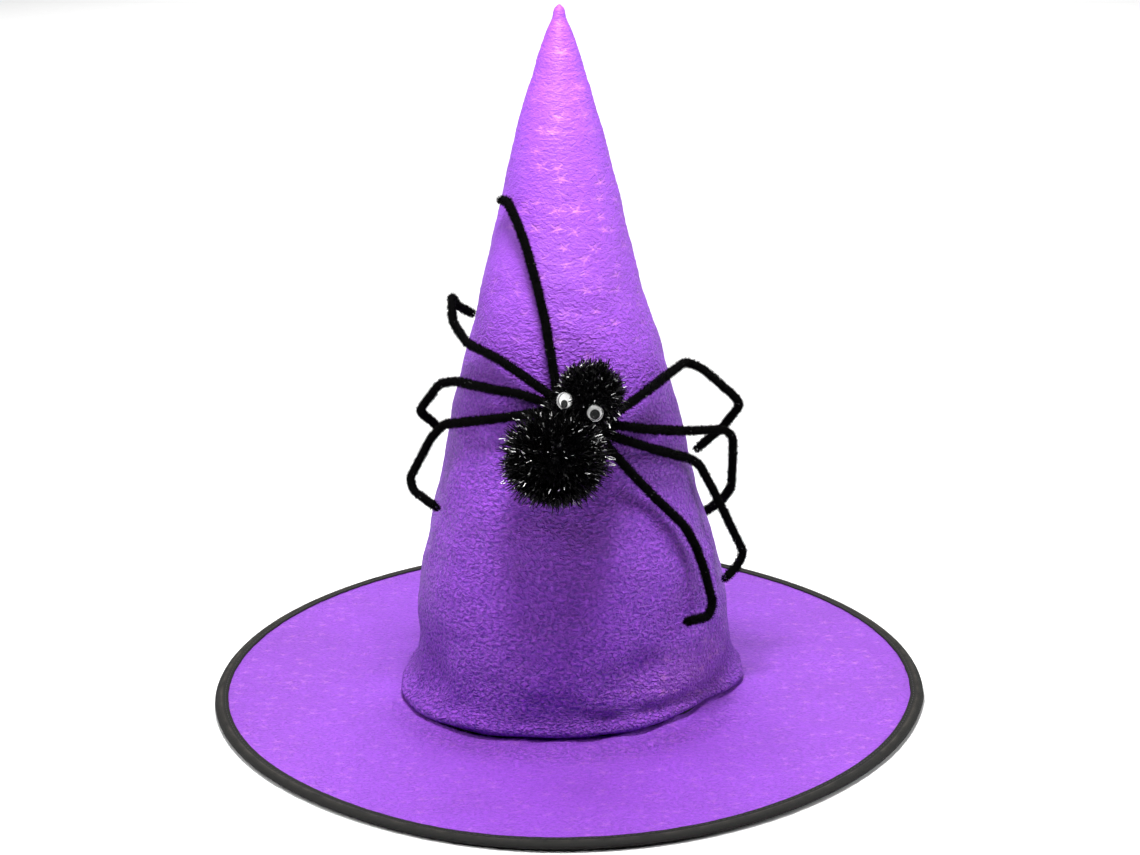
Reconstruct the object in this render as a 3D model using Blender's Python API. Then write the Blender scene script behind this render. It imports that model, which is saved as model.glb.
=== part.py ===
# Costume witch hat: a cone of crinkled nonwoven cloth on a wired round brim, with a tinsel spider on its front.
# Metres, +Z up. The hat stands on its brim at z = 0, its axis is Z, and the spider faces -Y.

import math

import bmesh
import bpy
from mathutils import Matrix, Vector

MM = 0.001
GAP = 0.3 * MM  # clearance between pieces that touch on the real hat

# Driving dimensions
RING_STEPS = 48  # every ring about the hat's axis shares these steps, so the rings nest
BRIM_RADIUS = 190 * MM
HEAD_RADIUS = 86 * MM  # the opening that the brim is cut to
CLOTH = 1.6 * MM  # the crown's cloth
BEAD = 4.4 * MM  # height of the bound edge, over the wire
TAPE = 0.5 * MM
BINDING_WIDTH = 8 * MM
HOOP_RADIUS = 187 * MM
WIRE_RADIUS = 0.8 * MM
FERRULE_RADIUS = 1.4 * MM
FERRULE_LENGTH = 18 * MM
CROWN_TOP = 364.3 * MM
LEG_RADIUS = 2.1 * MM
HEAD_BALL = 14.2 * MM
ABDOMEN_BALL = 19.5 * MM
EYE_RADIUS = 4.15 * MM

# The crown's outer side, from the tip to the turned lip at its foot: (radius, height) in millimetres
CROWN_SIDE = [
    (1.8, 362.8), (3.6, 358.5), (6.7, 351), (10.2, 341), (21.5, 302), (33.8, 252), (47, 202),
    (57.2, 162), (66.5, 122), (75.7, 87), (82.3, 57), (85.2, 32), (88.2, 14), (91, 10.5), (92, 7.8),
    (91.2, 5.3), (89.3, 3.7), (87.6, 3.5),
]

# Where the spider's parts sit, in millimetres
HEAD_AT = (12.7, -67, 183)
ABDOMEN_AT = (-4.3, -79.4, 154.9)
BUNDLE_AT = (6.5, -57.7, 167.2)
EYES = {  # name: (centre, turn to the side in degrees, tilt up in degrees, pupil radius, how low the pupil lies)
    "left": ((0.6, -76.4, 183.1), -34, 15, 1.9, 1.5),
    "right": ((14.7, -80.8, 178.2), 8, 10, 2.5, 0.8),
}

# Each leg from its root to its tip, as the stem is bent, in millimetres
LEGS = {
    "leg_left_1": [(-4, -59, 186), (-6, -54, 199), (-9, -48, 216.5), (-13, -42, 233.5), (-18, -35, 251),
                   (-22, -31, 261.5), (-27, -23, 271), (-30, -18, 270)],
    "leg_left_2": [(-8.5, -59, 182), (-20, -53, 189), (-31, -46, 195), (-49, -23, 198), (-56.5, -11, 206),
                   (-57, -2, 217), (-55.5, 8, 210), (-48, 17, 203)],
    "leg_left_3": [(-11.5, -59.5, 178), (-23.5, -54, 180.5), (-36, -47, 180.5), (-55, -20, 177),
                   (-64, -12, 173.5), (-75.5, -8, 157.5), (-67, 2, 146)],
    "leg_left_4": [(-12, -61, 172.5), (-20, -58.5, 170.5), (-40, -48.5, 165), (-62, -20, 154),
                   (-69, -15, 145.5), (-81, -16, 123.5), (-79, -20, 118), (-67, -31.5, 113)],
    "leg_right_1": [(26, -58, 171), (40.5, -44, 177), (56, -18, 180.5), (62.5, -9, 182.5), (71, -7, 178.5),
                    (88.5, -2, 161.5), (92, 0, 156), (83, 4, 142.5), (70, 7, 130)],
    "leg_right_2": [(27, -59, 164.5), (43.5, -47.5, 158.5), (62, -23, 149.5), (83, -10, 146), (87.5, -10, 141.5),
                    (87.5, -8, 127), (87, -6, 112), (83, 6, 101), (75.5, 24, 88)],
    "leg_right_3": [(25.5, -60.5, 159), (43.5, -51, 149.5), (64, -27, 136), (69.5, -20, 130), (78, -16, 112.5),
                    (93.5, -14, 78.5), (89.5, -16, 71.5), (83.5, -20.5, 67)],
    "leg_right_4": [(22, -63.5, 154), (33.5, -61, 139.5), (46, -56, 124), (60, -49, 107.5), (66, -46, 95.5),
                    (70.5, -46, 82), (75, -47.5, 64), (72.5, -51.5, 58.5), (61, -63.5, 61)],
}

UP = Vector((0, 0, 1))


def clear_scene():
    for thing in list(bpy.data.objects):
        bpy.data.objects.remove(thing)


def material(name, colour, roughness, metallic=0.0, alpha=1.0):
    made = bpy.data.materials.get(name) or bpy.data.materials.new(name)
    made.use_nodes = True
    shader = made.node_tree.nodes["Principled BSDF"]
    shader.inputs["Base Color"].default_value = (*colour, 1)
    shader.inputs["Roughness"].default_value = roughness
    shader.inputs["Metallic"].default_value = metallic
    shader.inputs["Alpha"].default_value = alpha
    return made


def violet_cloth():
    return material("violet nonwoven cloth", (0.23, 0.05, 0.62), 0.65)


def black_tape():
    return material("black bias tape", (0.035, 0.035, 0.035), 0.8)


def dark_thread():
    return material("dark sewing thread", (0.03, 0.03, 0.03), 0.7)


def violet_thread():
    return material("violet sewing thread", (0.15, 0.04, 0.4), 0.7)


def steel():
    return material("galvanised steel wire", (0.55, 0.55, 0.55), 0.4, metallic=1)


def tinsel():
    return material("black tinsel", (0.01, 0.01, 0.01), 0.3, metallic=0.5)


def chenille():
    return material("black chenille", (0.008, 0.008, 0.008), 0.9)


def glue():
    return material("clear hot glue", (0.75, 0.72, 0.62), 0.3, alpha=0.6)


def white_plastic():
    return material("white plastic", (0.85, 0.85, 0.83), 0.35)


def clear_plastic():
    return material("clear plastic", (0.95, 0.95, 0.95), 0.05, alpha=0.3)


def black_plastic():
    return material("black plastic", (0.01, 0.01, 0.01), 0.25)


def finish_object(name, form, surface, at=(0, 0, 0)):
    """Turns a bmesh into a named object with outward normals and smooth round faces."""
    bmesh.ops.recalc_face_normals(form, faces=form.faces)
    mesh = bpy.data.meshes.new(name)
    form.to_mesh(mesh)
    form.free()
    mesh.shade_smooth()
    mesh.set_sharp_from_angle(angle=math.radians(40))
    mesh.materials.append(surface)
    made = bpy.data.objects.new(name, mesh)
    made.location = at
    bpy.context.scene.collection.objects.link(made)
    return made


def turned(name, outline, surface, steps=RING_STEPS, at=(0, 0, 0)):
    """A body turned about Z from a closed outline of (radius, height) points."""
    form = bmesh.new()
    points = [form.verts.new((radius, 0, height)) for radius, height in outline]
    pairs = list(zip(points, points[1:] + points[:1]))
    on_axis = outline[0][0] == 0 and outline[-1][0] == 0
    edges = [form.edges.new(pair) for pair in (pairs[:-1] if on_axis else pairs)]
    bmesh.ops.spin(form, geom=points + edges, axis=UP, cent=(0, 0, 0), angle=2 * math.pi, steps=steps)
    bmesh.ops.remove_doubles(form, verts=form.verts, dist=0.001 * MM)
    return finish_object(name, form, surface, at)


def swept(name, path, outline, surface, closed=False):
    """A body whose flat outline follows a path. The outline's first axis points away from the hat's axis."""
    form = bmesh.new()
    rows = []
    for index, point in enumerate(path):
        before = path[max(index - 1, 0)]
        after = path[min(index + 1, len(path) - 1)]
        along = (after - before).normalized()
        outward = Vector((point.x, point.y, 0)).normalized()
        side = (outward - along * outward.dot(along)).normalized()
        across = along.cross(side)
        rows.append([form.verts.new(point + side * u + across * v) for u, v in outline])
    for row, following in zip(rows, rows[1:]):
        for index in range(len(outline)):
            onward = (index + 1) % len(outline)
            form.faces.new((row[index], row[onward], following[onward], following[index]))
    form.faces.new(rows[0])
    form.faces.new(rows[-1])
    return finish_object(name, form, surface)


def circle(radius, sides, start=0.0):
    turn = 2 * math.pi / sides
    return [(radius * math.cos(start + i * turn), radius * math.sin(start + i * turn)) for i in range(sides)]


def tilted(toward):
    """The rotation that turns +Z to this direction."""
    return Vector(toward).to_track_quat("Z", "Y").to_matrix().to_4x4()


def crown_normal(at):
    """The way out of the crown's side at this point."""
    slope = 0.25
    return Vector((at[0], at[1], math.hypot(at[0], at[1]) * slope)).normalized()


def make_crown():
    outer = [(radius * MM, height * MM) for radius, height in CROWN_SIDE]
    inner = []
    for index in range(3, len(outer)):
        radius, height = outer[index]
        before = Vector(outer[index - 1])
        after = Vector(outer[min(index + 1, len(outer) - 1)])
        along = (after - before).normalized()
        inner.append((radius + along.y * CLOTH, height - along.x * CLOTH))
    outline = [(0, CROWN_TOP)] + outer + inner[::-1] + [(0, outer[3][1] + 2 * CLOTH)]
    turned("crown_cloth", outline, violet_cloth())


def inner_side(height):
    """The radius of the crown's inner wall at this height."""
    side = [(radius * MM - CLOTH * 1.03, tall * MM) for radius, tall in CROWN_SIDE[3:13]]
    for (upper, top), (lower, bottom) in zip(side, side[1:]):
        if bottom <= height <= top:
            return lower + (upper - lower) * (height - bottom) / (top - bottom)
    return side[-1][0]


def make_crown_threads():
    thread = 0.3 * MM
    path = []
    for step in range(15):
        height = (18 + step * 22) * MM
        path.append(Vector((0, inner_side(height) - thread - GAP * 1.5, height)))
    swept("crown_back_thread", path, circle(thread, 4), violet_thread())
    seam = [(86.7 * MM + u, 3.55 * MM + v) for u, v in circle(thread, 4)]
    turned("crown_brim_thread", seam, violet_thread())


def make_head_tape():
    low, high = 1.0 * MM, 25 * MM
    outline = [(84.7 * MM, low), (85.5 * MM, low), (83.9 * MM, high), (83.1 * MM, high)]
    turned("head_tape", outline, black_tape())


def make_brim():
    edge = HOOP_RADIUS - FERRULE_RADIUS - GAP
    lower, upper = (1.1 * MM, 1.8 * MM), (2.1 * MM, 3.1 * MM)
    for name, (low, high) in {"brim_underside_cloth": lower, "brim_top_cloth": upper}.items():
        turned(name, [(HEAD_RADIUS, low), (edge, low), (edge, high), (HEAD_RADIUS, high)], violet_cloth())


def make_binding():
    inside = BRIM_RADIUS - BINDING_WIDTH
    rounding = BEAD / 2
    arc = [math.radians(angle) for angle in (-90, -45, 0, 45, 90)]
    centre = BRIM_RADIUS - rounding
    hollow = rounding - TAPE
    outline = [(inside, 0)]
    outline += [(centre + rounding * math.cos(a), rounding + rounding * math.sin(a)) for a in arc]
    outline += [(inside, 3.9 * MM), (inside, 3.9 * MM - TAPE)]
    outline += [(centre + hollow * math.cos(a), rounding + hollow * math.sin(a)) for a in arc[::-1]]
    outline += [(inside, TAPE)]
    turned("brim_binding", outline, black_tape())
    stitch = [(inside + 1.6 * MM + u, 4.35 * MM + v) for u, v in circle(0.2 * MM, 4)]
    turned("binding_thread", stitch, dark_thread())


def make_hoop():
    half_gap = 0.5 * MM / HOOP_RADIUS
    steps = RING_STEPS * 2
    level = BEAD / 2

    def at(angle):
        return Vector((HOOP_RADIUS * math.cos(angle), HOOP_RADIUS * math.sin(angle), level))

    turn = 2 * math.pi / steps
    path = [at(half_gap)] + [at(turn * i) for i in range(1, steps)] + [at(-half_gap)]
    swept("brim_wire", path, circle(WIRE_RADIUS, 6), steel())
    half = FERRULE_LENGTH / 2 / HOOP_RADIUS
    sleeve = [at(half * step / 4) for step in range(-4, 5)]
    mouth = math.radians(25)  # the crimped sleeve's open seam
    turns = [mouth + (2 * math.pi - 2 * mouth) * i / 10 for i in range(11)]
    outer = [(FERRULE_RADIUS * math.cos(a), FERRULE_RADIUS * math.sin(a)) for a in turns]
    inner = [(1.05 * MM * math.cos(a), 1.05 * MM * math.sin(a)) for a in turns[::-1]]
    swept("wire_ferrule", sleeve, outer + inner, steel())


def ball(name, radius, at, surface, depth=1.0):
    form = bmesh.new()
    bmesh.ops.create_uvsphere(form, u_segments=20, v_segments=12, radius=radius)
    flat = tilted(crown_normal(at)) @ Matrix.Diagonal((1, 1, depth, 1))
    bmesh.ops.transform(form, matrix=flat, verts=form.verts)
    return finish_object(name, form, surface, at)


def cutter(name, radius, start, end):
    form = bmesh.new()
    way = end - start
    bmesh.ops.create_cone(form, cap_ends=True, segments=16, radius1=radius, radius2=radius, depth=way.length)
    place = Matrix.Translation((start + end) / 2) @ tilted(way)
    bmesh.ops.transform(form, matrix=place, verts=form.verts)
    made = finish_object(name, form, glue())
    made.hide_render = True
    made.display_type = "WIRE"
    return made


def cut(piece, tool):
    change = piece.modifiers.new(tool.name, "BOOLEAN")
    change.object = tool
    change.operation = "DIFFERENCE"


def eye_direction(side, tilt):
    side, tilt = math.radians(side), math.radians(tilt)
    return Vector((math.sin(side) * math.cos(tilt), -math.cos(side) * math.cos(tilt), math.sin(tilt)))


def make_pompons():
    head_at, abdomen_at = Vector(HEAD_AT) * MM, Vector(ABDOMEN_AT) * MM
    head = ball("spider_head", HEAD_BALL, head_at, tinsel())
    abdomen = ball("spider_abdomen", ABDOMEN_BALL, abdomen_at, tinsel(), depth=0.9)
    along = (abdomen_at - head_at).normalized()
    wire_ends = head_at + along * 4 * MM, abdomen_at - along * 4 * MM
    bore = cutter("cut_wire_channel", 1.1 * MM, wire_ends[0] - along * MM, wire_ends[1] + along * MM)
    cut(head, bore)
    cut(abdomen, bore)
    swept("body_wire", list(wire_ends), circle(0.6 * MM, 6), steel())
    for name, (centre, side, tilt, _, _) in EYES.items():
        at, toward = Vector(centre) * MM, eye_direction(side, tilt)
        cut(head, cutter(f"cut_eye_{name}", EYE_RADIUS + 0.5 * MM, at - toward * 1.6 * MM, at + toward * 12 * MM))


def placed(piece, at, toward):
    """Turns a piece made about Z to face a direction, with its origin at this point."""
    piece.matrix_world = Matrix.Translation(at) @ tilted(toward)


def make_eyes():
    for name, (centre, side, tilt, pupil_radius, pupil_drop) in EYES.items():
        at, toward = Vector(centre) * MM, eye_direction(side, tilt)
        disc = [(0, 0), (3.55 * MM, 0), (3.55 * MM, -0.6 * MM), (0, -0.6 * MM)]
        placed(turned(f"eye_{name}_back", disc, white_plastic(), steps=20), at, toward)
        make_dome(name, at, toward)
        make_pupil(name, at, toward, pupil_radius * MM, pupil_drop * MM)
        dot = [(0, -1.35 * MM), (1.6 * MM, -1.35 * MM), (2.2 * MM, -1.1 * MM), (1.8 * MM, -0.9 * MM), (0, -0.9 * MM)]
        placed(turned(f"eye_{name}_glue", dot, glue(), steps=12), at, toward)


def make_dome(name, at, toward):
    wall = 0.3 * MM
    skirt = 1.2 * MM
    rise = 1.9 * MM
    outer = [(EYE_RADIUS * math.cos(a), skirt + rise * math.sin(a)) for a in dome_angles()]
    inner = [((EYE_RADIUS - wall) * math.cos(a), skirt + (rise - wall) * math.sin(a)) for a in dome_angles()]
    outline = [(0, skirt + rise)] + outer[::-1] + [(EYE_RADIUS, -0.4 * MM), (EYE_RADIUS - wall, -0.4 * MM)]
    outline += inner + [(0, skirt + rise - wall)]
    placed(turned(f"eye_{name}_dome", outline, clear_plastic(), steps=20), at, toward)


def dome_angles():
    return [math.radians(angle) for angle in (0, 25, 50, 72)]


def make_pupil(name, at, toward, radius, drop):
    """A loose disc that lies low in its dome. Its origin is on the eye's axis, which it rolls about."""
    low = (toward * UP.dot(toward) - UP).normalized() * drop
    low_here = tilted(toward).to_3x3().inverted() @ low
    form = bmesh.new()
    bmesh.ops.create_cone(form, cap_ends=True, segments=16, radius1=radius, radius2=radius, depth=0.5 * MM)
    bmesh.ops.translate(form, vec=low_here + UP * 0.6 * MM, verts=form.verts)
    pupil = finish_object(f"eye_{name}_pupil", form, black_plastic())
    placed(pupil, at, toward)


def make_bundle():
    """The middle of the leg stems, laid side by side across the junction of head and abdomen."""
    at = Vector(BUNDLE_AT) * MM
    out = crown_normal(at)
    across = Vector((0.87, 0, -0.49))
    across = (across - out * across.dot(out)).normalized()
    form = bmesh.new()
    bmesh.ops.create_cube(form, size=1)
    size = Matrix.Diagonal((32 * MM, 8 * MM, 3.4 * MM, 1))
    turn = Matrix((across, out.cross(across), out)).transposed().to_4x4()
    bmesh.ops.transform(form, matrix=turn @ size, verts=form.verts)
    bundle = finish_object("leg_bundle", form, chenille(), at)
    rounding = bundle.modifiers.new("rounded stems", "BEVEL")
    rounding.width = 1.4 * MM
    rounding.segments = 2


def make_glue_pads():
    for name, centre, back in (("head_glue", HEAD_AT, 14.2 + 0.95), ("abdomen_glue", ABDOMEN_AT, 17.55 + 1.2)):
        at = Vector(centre) * MM
        out = crown_normal(at)
        pad = [(0, -0.5 * MM), (4 * MM, -0.5 * MM), (4.5 * MM, 0), (4 * MM, 0.5 * MM), (0, 0.5 * MM)]
        placed(turned(name, pad, glue(), steps=16), at - out * back * MM, out)


def make_leg(name, points):
    """A chenille stem bent by hand. Its origin is at its root, where it bends."""
    root = Vector(points[0]) * MM
    curve = bpy.data.curves.new(name, "CURVE")
    curve.dimensions = "3D"
    curve.bevel_depth = LEG_RADIUS
    curve.bevel_resolution = 1
    curve.resolution_u = 3
    curve.use_fill_caps = True
    stem = curve.splines.new("BEZIER")
    stem.bezier_points.add(len(points) - 1)
    for handle, point in zip(stem.bezier_points, points):
        handle.co = Vector(point) * MM - root
        handle.handle_left_type = handle.handle_right_type = "AUTO"
    curve.materials.append(chenille())
    leg = bpy.data.objects.new(name, curve)
    leg.location = root
    bpy.context.scene.collection.objects.link(leg)


def main():
    clear_scene()
    make_crown()
    make_crown_threads()
    make_head_tape()
    make_brim()
    make_binding()
    make_hoop()
    make_pompons()
    make_eyes()
    make_bundle()
    make_glue_pads()
    for name, points in LEGS.items():
        make_leg(name, points)


main()
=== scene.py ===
import math

import bpy
import numpy as np
from mathutils import Matrix, Vector


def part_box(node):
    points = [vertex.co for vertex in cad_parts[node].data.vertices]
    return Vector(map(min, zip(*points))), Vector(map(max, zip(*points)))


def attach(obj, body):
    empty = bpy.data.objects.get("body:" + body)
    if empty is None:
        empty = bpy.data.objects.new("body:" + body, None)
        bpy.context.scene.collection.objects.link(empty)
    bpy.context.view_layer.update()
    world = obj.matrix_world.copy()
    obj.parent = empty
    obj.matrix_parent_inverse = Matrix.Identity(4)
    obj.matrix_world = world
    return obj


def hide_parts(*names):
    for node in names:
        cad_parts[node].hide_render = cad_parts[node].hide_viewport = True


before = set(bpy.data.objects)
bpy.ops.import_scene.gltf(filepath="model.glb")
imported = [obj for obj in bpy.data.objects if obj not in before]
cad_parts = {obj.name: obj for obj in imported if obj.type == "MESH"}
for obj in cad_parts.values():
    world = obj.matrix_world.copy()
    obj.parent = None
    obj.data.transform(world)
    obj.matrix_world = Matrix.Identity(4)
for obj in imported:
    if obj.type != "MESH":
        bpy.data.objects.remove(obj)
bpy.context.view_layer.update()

mm = 0.001
clothUnit = 0.55  # metres of flat cloth that one step of its UV map covers
print("frame loaded:", len(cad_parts), "nodes")


# ---- small helpers

def linear(hexColour):
    channels = [int(hexColour[i:i + 2], 16) / 255 for i in (1, 3, 5)]
    return tuple(c / 12.92 if c <= 0.04045 else ((c + 0.055) / 1.055) ** 2.4 for c in channels) + (1.0,)


def deselectAll():
    if bpy.context.object and bpy.context.object.mode != "OBJECT":
        bpy.ops.object.mode_set(mode="OBJECT")
    bpy.ops.object.select_all(action="DESELECT")


def meshPiece(name, points, faces, materials, uvs=None, faceMaterials=None):
    mesh = bpy.data.meshes.new(name)
    mesh.from_pydata([tuple(p) for p in points], [], [tuple(f) for f in faces])
    for material in materials:
        mesh.materials.append(material)
    if uvs is not None:
        layer = mesh.uv_layers.new(name="cloth")
        layer.data.foreach_set("uv", np.asarray(uvs, np.float32).ravel())
    if faceMaterials is not None:
        mesh.polygons.foreach_set("material_index", np.asarray(faceMaterials, np.int32))
    mesh.shade_smooth()
    mesh.update()
    piece = bpy.data.objects.new(name, mesh)
    bpy.context.scene.collection.objects.link(piece)
    return piece


def standsFor(piece, body, node):
    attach(piece, body)
    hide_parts(node)


def unit(vectors):
    return vectors / np.linalg.norm(vectors, axis=1)[:, None]


def sampled(wanted, along, line):
    # points of a line at these distances along it
    return np.stack([np.interp(wanted, along, line[:, i]) for i in range(line.shape[1])], 1)


def distances(line):
    return np.concatenate([[0], np.cumsum(np.linalg.norm(np.diff(line, axis=0), axis=1))])


def turnsOf(columns):
    # turns round the hat from the back, through the left, with zero at the front
    return -math.pi + 2 * math.pi * np.arange(columns + 1) / columns


def addNode(tree, kind, settings=None, inputs=None):
    node = tree.nodes.new(kind)
    for key, value in (settings or {}).items():
        setattr(node, key, value)
    for key, value in (inputs or {}).items():
        if isinstance(value, bpy.types.NodeSocket):
            tree.links.new(value, node.inputs[key])
        else:
            node.inputs[key].default_value = value
    return node


def newMaterial(name):
    material = bpy.data.materials.new(name)
    material.use_nodes = True
    return material, material.node_tree, material.node_tree.nodes["Principled BSDF"]


def maths(tree, operation, *values, clamp=False):
    settings = {"operation": operation, "use_clamp": clamp}
    return addNode(tree, "ShaderNodeMath", settings, dict(enumerate(values))).outputs[0]


def mixColour(tree, factor, first, second, blend="MIX"):
    node = addNode(tree, "ShaderNodeMix", {"data_type": "RGBA", "blend_type": blend})
    for key, value in (("Factor_Float", factor), ("A_Color", first), ("B_Color", second)):
        socket = [s for s in node.inputs if s.identifier == key][0]
        if isinstance(value, bpy.types.NodeSocket):
            tree.links.new(value, socket)
        else:
            socket.default_value = value
    return [s for s in node.outputs if s.identifier == "Result_Color"][0]


def bumpOf(tree, height, distance, strength=1.0):
    inputs = {"Height": height, "Distance": distance, "Strength": strength}
    return addNode(tree, "ShaderNodeBump", {}, inputs).outputs[0]


# ---- materials

clothLook = {
    "violet": "#9944D3",
    # the valley colour is painted shade, laid into the hollows of the wrinkles
    "valleyShade": "#521A98",
    "paintedSheen": "#C070E0",  # painted highlight: a paler colour laid on where the light falls, high on the front, on the lower right flare and on the brim's sides
    # painted highlight: the colour of the stars where they catch the light
    "star": "#EC94E6",
    "wrinkle": 1.7 * mm,  # spacing of the pressed wrinkles
    "starSpacing": 8.8 * mm,
    "starReach": 7.4 * mm,
    "starWidth": 1.2 * mm,
    "relief": 1.25 * mm,
}


def starFelt():
    # spunbond polyester felt, pressed between rollers: short wavy wrinkles across, and small smooth stars
    look = clothLook
    material, tree, shader = newMaterial("embossed polyester felt")
    uv = addNode(tree, "ShaderNodeTexCoord").outputs["UV"]
    metres = addNode(tree, "ShaderNodeMapping", {}, {"Vector": uv, "Scale": (clothUnit,) * 3}).outputs[0]
    crepe = addNode(tree, "ShaderNodeMapping", {}, {"Vector": metres, "Scale": (0.85, 1.12, 1)}).outputs[0]
    folds = addNode(tree, "ShaderNodeTexNoise", {"noise_dimensions": "2D"},
                    {"Vector": crepe, "Scale": 1 / look["wrinkle"], "Detail": 2.0, "Roughness": 0.45,
                     "Distortion": 0.5})
    fibre = addNode(tree, "ShaderNodeTexNoise", {"noise_dimensions": "2D"},
                    {"Vector": metres, "Scale": 1 / (0.8 * mm), "Detail": 2.0})
    blotch = addNode(tree, "ShaderNodeTexNoise", {"noise_dimensions": "2D"},
                     {"Vector": metres, "Scale": 1 / (34 * mm), "Detail": 1.0})
    paintedHighlight = addNode(tree, "ShaderNodeAttribute", {"attribute_name": "paintedHighlight"}).outputs["Fac"]
    slack = addNode(tree, "ShaderNodeAttribute", {"attribute_name": "slack"}).outputs["Fac"]
    star = starMask(tree, metres)
    fold = maths(tree, "MULTIPLY_ADD", maths(tree, "SUBTRACT", folds.outputs[0], 0.5), 2.4, 0.5, clamp=True)
    relief = maths(tree, "MULTIPLY_ADD", fold, 0.8, maths(tree, "MULTIPLY", fibre.outputs[0], 0.2))
    # painted shade: the hollows of the wrinkles are painted toward the darker colour, more so where slack is
    # high
    paintedHollowShade = maths(tree, "MULTIPLY_ADD", maths(tree, "SUBTRACT", relief, 0.5), slack, 0.55, clamp=True)
    tone = mixColour(tree, paintedHollowShade, linear(look["valleyShade"]), linear(look["violet"]))
    patchy = maths(tree, "MULTIPLY_ADD", blotch.outputs[0], 0.2, 0.9)
    tone = mixColour(tree, 1.0, tone, patchy, "MULTIPLY")
    # painted highlight: the cloth is washed paler, and its stars pale pink, where the painted highlight mark is
    # high
    tone = mixColour(tree, maths(tree, "MULTIPLY", paintedHighlight, 0.22, clamp=True), tone, linear(look["paintedSheen"]))
    shine = maths(tree, "MULTIPLY", star, paintedHighlight)
    tone = mixColour(tree, maths(tree, "MULTIPLY", shine, 0.8, clamp=True), tone, linear(look["star"]))
    tree.links.new(tone, shader.inputs["Base Color"])
    rough = maths(tree, "MULTIPLY_ADD", star, -0.2, 0.62)
    tree.links.new(rough, shader.inputs["Roughness"])
    height = maths(tree, "MULTIPLY_ADD", fibre.outputs[0], 0.15, maths(tree, "MULTIPLY", fold, slack))
    height = maths(tree, "MULTIPLY_ADD", star, -0.35, height)
    tree.links.new(bumpOf(tree, height, look["relief"]), shader.inputs["Normal"])
    shader.inputs["Sheen Weight"].default_value = 0.03
    shader.inputs["Sheen Roughness"].default_value = 0.4
    shader.inputs["Sheen Tint"].default_value = linear("#F0C8FF")
    shader.inputs["Specular IOR Level"].default_value = 0.45
    return material


def starMask(tree, metres):
    look = clothLook
    cell = look["starSpacing"]
    wobble = addNode(tree, "ShaderNodeTexNoise", {"noise_dimensions": "2D"},
                     {"Vector": metres, "Scale": 1 / (3 * mm)})
    shift = addNode(tree, "ShaderNodeVectorMath", {"operation": "SCALE"},
                    {0: wobble.outputs["Color"], "Scale": 1.3 * mm}).outputs[0]
    moved = addNode(tree, "ShaderNodeVectorMath", {"operation": "ADD"}, {0: metres, 1: shift}).outputs[0]
    cells = addNode(tree, "ShaderNodeMapping", {},
                    {"Vector": moved, "Scale": (1 / cell, 1.12 / cell, 1)}).outputs[0]
    near = addNode(tree, "ShaderNodeTexVoronoi", {"voronoi_dimensions": "2D"},
                   {"Vector": cells, "Scale": 1.0, "Randomness": 0.62})
    away = addNode(tree, "ShaderNodeVectorMath", {"operation": "SUBTRACT"},
                   {0: cells, 1: near.outputs["Position"]})
    parts = addNode(tree, "ShaderNodeSeparateXYZ", {}, {0: away.outputs[0]})
    luck = addNode(tree, "ShaderNodeSeparateXYZ", {}, {0: near.outputs["Color"]})
    reach = addNode(tree, "ShaderNodeVectorMath", {"operation": "LENGTH"},
                    {0: away.outputs[0]}).outputs["Value"]
    angle = maths(tree, "ARCTAN2", parts.outputs[1], parts.outputs[0])
    turned = maths(tree, "MULTIPLY_ADD", luck.outputs[0], 0.7, angle)
    rays = maths(tree, "ABSOLUTE", maths(tree, "SINE", maths(tree, "MULTIPLY", turned, 2.5)))  # five rays
    aside = maths(tree, "MULTIPLY", rays, maths(tree, "MULTIPLY", reach, 0.4))
    flat = maths(tree, "ABSOLUTE", maths(tree, "COSINE", angle))  # rays across the cloth reach farther
    size = maths(tree, "MULTIPLY", maths(tree, "MULTIPLY_ADD", luck.outputs[1], 0.5, 0.6),
                 maths(tree, "MULTIPLY_ADD", flat, 0.5, 0.62))
    size = maths(tree, "MULTIPLY", size, look["starReach"] / cell)
    taper = maths(tree, "SUBTRACT", 1.0, maths(tree, "DIVIDE", reach, size))
    width = maths(tree, "MULTIPLY", taper, look["starWidth"] / cell)
    inside = maths(tree, "DIVIDE", maths(tree, "SUBTRACT", width, aside), 0.2, clamp=True)
    brokenUp = addNode(tree, "ShaderNodeTexNoise", {"noise_dimensions": "2D"},
                     {"Vector": metres, "Scale": 1 / (2.2 * mm)})
    kept = maths(tree, "MULTIPLY_ADD", brokenUp.outputs[0], 2.6, -0.55, clamp=True)
    inside = maths(tree, "MULTIPLY", inside, kept)
    some = maths(tree, "MULTIPLY_ADD", luck.outputs[2], 1.6, -0.3, clamp=True)
    return maths(tree, "MULTIPLY", inside, some)


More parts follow.
